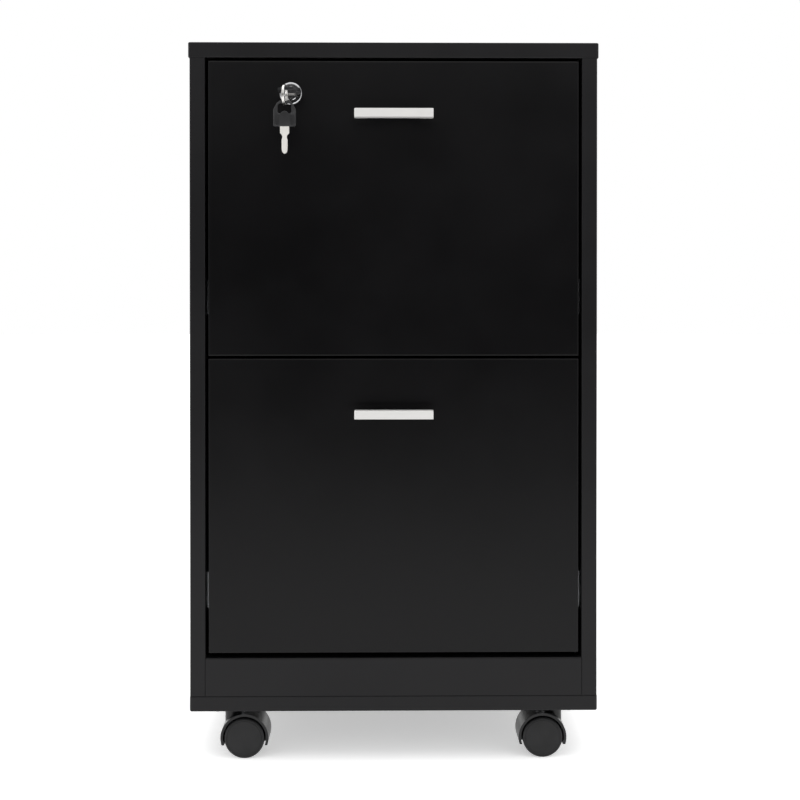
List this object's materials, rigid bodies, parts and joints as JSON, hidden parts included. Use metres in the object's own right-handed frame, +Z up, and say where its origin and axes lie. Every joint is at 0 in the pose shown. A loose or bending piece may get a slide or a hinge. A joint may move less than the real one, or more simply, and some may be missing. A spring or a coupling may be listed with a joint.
{
  "type": "rolling pedestal cabinet",
  "caption": "Rolling office pedestal with file drawers on ball-bearing slides, bar handles, a cam lock with keys, and twin-wheel casters.",
  "frame": {"origin": "on the floor, at the centre of the whole object's footprint, keys and handles included", "axes": "+X to the right seen from the front, drawers face -Y, +Z up"},
  "size_m": [0.4, 0.444, 0.702],
  "materials": {
    "black_melamine": "black melamine-faced board with a satin, finely pored surface and rounded edge banding",
    "black_box_board": "plain black foil-faced board, duller than the outside",
    "black_zinc": "pressed steel with a black finish",
    "zinc_steel": "bright zinc-plated steel",
    "cast_zinc": "raw cast zinc",
    "dowel_wood": "fluted beech",
    "rail_aluminium": "plain anodised",
    "satin_nickel": "satin nickel plate",
    "lock_chrome": "polished chrome plate",
    "key_steel": "nickel-plated, finely brushed",
    "key_plastic": "moulded black plastic with a light texture",
    "caster_steel": "zinc-plated steel",
    "caster_nylon": "moulded black nylon",
    "wheel_plastic": "moulded black nylon, slightly glossy"
  },
  "bodies": {
    "carcass": {"top_panel": "black_melamine", "bottom_panel": "black_melamine", "left_side_panel": "black_melamine", "right_side_panel": "black_melamine", "plinth_rail": "black_melamine", "back_panel": "black_melamine", "cam_bolts": "zinc_steel", "cam_nuts": "cast_zinc", "wood_dowels": "dowel_wood", "wood_screws": "zinc_steel", "lock_strike": "black_zinc", "slide_cabinet_members": "zinc_steel", "caster_plates": "caster_steel"},
    "upper_runner": {"upper_slide_middle_members": "zinc_steel"},
    "lower_runner": {"lower_slide_middle_members": "zinc_steel"},
    "lock_cylinder": {"lock_plug": "lock_chrome", "lock_cam": "zinc_steel", "cam_screw": "zinc_steel"},
    "inserted_key": {"inserted_key_blade": "key_steel", "inserted_key_bow": "key_plastic"},
    "key_ring": {"key_ring": "key_steel"},
    "spare_key": {"spare_key_blade": "key_steel", "spare_key_bow": "key_plastic"},
    "upper_drawer": {"upper_drawer_front": "black_melamine", "upper_drawer_sides": "black_box_board", "upper_drawer_ends": "black_box_board", "upper_drawer_floor": "black_box_board", "upper_file_rails": "rail_aluminium", "upper_slide_drawer_members": "zinc_steel", "upper_drawer_screws": "zinc_steel", "upper_handle": "satin_nickel", "upper_handle_screws": "zinc_steel", "lock_housing": "lock_chrome", "lock_nut": "zinc_steel"},
    "lower_drawer": {"lower_drawer_front": "black_melamine", "lower_drawer_sides": "black_box_board", "lower_drawer_ends": "black_box_board", "lower_drawer_floor": "black_box_board", "lower_file_rails": "rail_aluminium", "lower_slide_drawer_members": "zinc_steel", "lower_drawer_screws": "zinc_steel", "lower_handle": "satin_nickel", "lower_handle_screws": "zinc_steel"},
    "front_left_swivel": {"front_left_caster_hood": "caster_nylon", "front_left_caster_axle": "caster_steel"},
    "front_left_near_wheel": {"front_left_near_wheel": "wheel_plastic"},
    "front_left_far_wheel": {"front_left_far_wheel": "wheel_plastic"},
    "front_right_swivel": {"front_right_caster_hood": "caster_nylon", "front_right_caster_axle": "caster_steel"},
    "front_right_near_wheel": {"front_right_near_wheel": "wheel_plastic"},
    "front_right_far_wheel": {"front_right_far_wheel": "wheel_plastic"},
    "rear_left_swivel": {"rear_left_caster_hood": "caster_nylon", "rear_left_caster_axle": "caster_steel"},
    "rear_left_near_wheel": {"rear_left_near_wheel": "wheel_plastic"},
    "rear_left_far_wheel": {"rear_left_far_wheel": "wheel_plastic"},
    "rear_right_swivel": {"rear_right_caster_hood": "caster_nylon", "rear_right_caster_axle": "caster_steel"},
    "rear_right_near_wheel": {"rear_right_near_wheel": "wheel_plastic"},
    "rear_right_far_wheel": {"rear_right_far_wheel": "wheel_plastic"}
  },
  "joints": [
    {"name": "upper_drawer_slide", "type": "slide", "parent": "carcass", "child": "upper_drawer", "axis": [0, -1, 0], "range_m": [0, 0.35]},
    {"name": "upper_runner_slide", "type": "slide", "parent": "carcass", "child": "upper_runner", "axis": [0, -1, 0], "range_m": [0, 0.175]},
    {"name": "lower_drawer_slide", "type": "slide", "parent": "carcass", "child": "lower_drawer", "axis": [0, -1, 0], "range_m": [0, 0.35]},
    {"name": "lower_runner_slide", "type": "slide", "parent": "carcass", "child": "lower_runner", "axis": [0, -1, 0], "range_m": [0, 0.175]},
    {"name": "lock_turn", "type": "hinge", "parent": "upper_drawer", "child": "lock_cylinder", "pos_m": [-0.1, -0.178, 0.652], "axis": [0, 1, 0], "range_deg": [0, 90]},
    {"name": "key_pull", "type": "slide", "parent": "lock_cylinder", "child": "inserted_key", "axis": [0, -1, 0], "range_m": [0, 0.019]},
    {"name": "key_ring_swing", "type": "hinge", "parent": "inserted_key", "child": "key_ring", "pos_m": [-0.1036, -0.2115, 0.652], "axis": [1, 0, 0], "range_deg": [-40, 0]},
    {"name": "spare_key_swing", "type": "hinge", "parent": "key_ring", "child": "spare_key", "pos_m": [-0.1036, -0.2115, 0.63615], "axis": [0, 1, 0], "range_deg": [-15, 15]},
    {"name": "front_left_swivel_turn", "type": "hinge", "parent": "carcass", "child": "front_left_swivel", "pos_m": [-0.1595, -0.148, 0], "axis": [0, 0, 1], "continuous": true},
    {"name": "front_left_near_wheel_roll", "type": "hinge", "parent": "front_left_swivel", "child": "front_left_near_wheel", "pos_m": [-0.147, -0.148, 0.01975], "axis": [0, 1, 0], "continuous": true},
    {"name": "front_left_far_wheel_roll", "type": "hinge", "parent": "front_left_swivel", "child": "front_left_far_wheel", "pos_m": [-0.147, -0.148, 0.01975], "axis": [0, 1, 0], "continuous": true},
    {"name": "front_right_swivel_turn", "type": "hinge", "parent": "carcass", "child": "front_right_swivel", "pos_m": [0.1595, -0.148, 0], "axis": [0, 0, 1], "continuous": true},
    {"name": "front_right_near_wheel_roll", "type": "hinge", "parent": "front_right_swivel", "child": "front_right_near_wheel", "pos_m": [0.147, -0.148, 0.01975], "axis": [0, 1, 0], "continuous": true},
    {"name": "front_right_far_wheel_roll", "type": "hinge", "parent": "front_right_swivel", "child": "front_right_far_wheel", "pos_m": [0.147, -0.148, 0.01975], "axis": [0, 1, 0], "continuous": true},
    {"name": "rear_left_swivel_turn", "type": "hinge", "parent": "carcass", "child": "rear_left_swivel", "pos_m": [-0.1595, 0.192, 0], "axis": [0, 0, 1], "continuous": true},
    {"name": "rear_left_near_wheel_roll", "type": "hinge", "parent": "rear_left_swivel", "child": "rear_left_near_wheel", "pos_m": [-0.147, 0.192, 0.01975], "axis": [0, 1, 0], "continuous": true},
    {"name": "rear_left_far_wheel_roll", "type": "hinge", "parent": "rear_left_swivel", "child": "rear_left_far_wheel", "pos_m": [-0.147, 0.192, 0.01975], "axis": [0, 1, 0], "continuous": true},
    {"name": "rear_right_swivel_turn", "type": "hinge", "parent": "carcass", "child": "rear_right_swivel", "pos_m": [0.1595, 0.192, 0], "axis": [0, 0, 1], "continuous": true},
    {"name": "rear_right_near_wheel_roll", "type": "hinge", "parent": "rear_right_swivel", "child": "rear_right_near_wheel", "pos_m": [0.147, 0.192, 0.01975], "axis": [0, 1, 0], "continuous": true},
    {"name": "rear_right_far_wheel_roll", "type": "hinge", "parent": "rear_right_swivel", "child": "rear_right_far_wheel", "pos_m": [0.147, 0.192, 0.01975], "axis": [0, 1, 0], "continuous": true}
  ],
  "couplings": [
    {"joint": "upper_runner_slide", "follows": "upper_drawer_slide", "ratio": 0.5},
    {"joint": "lower_runner_slide", "follows": "lower_drawer_slide", "ratio": 0.5}
  ]
}
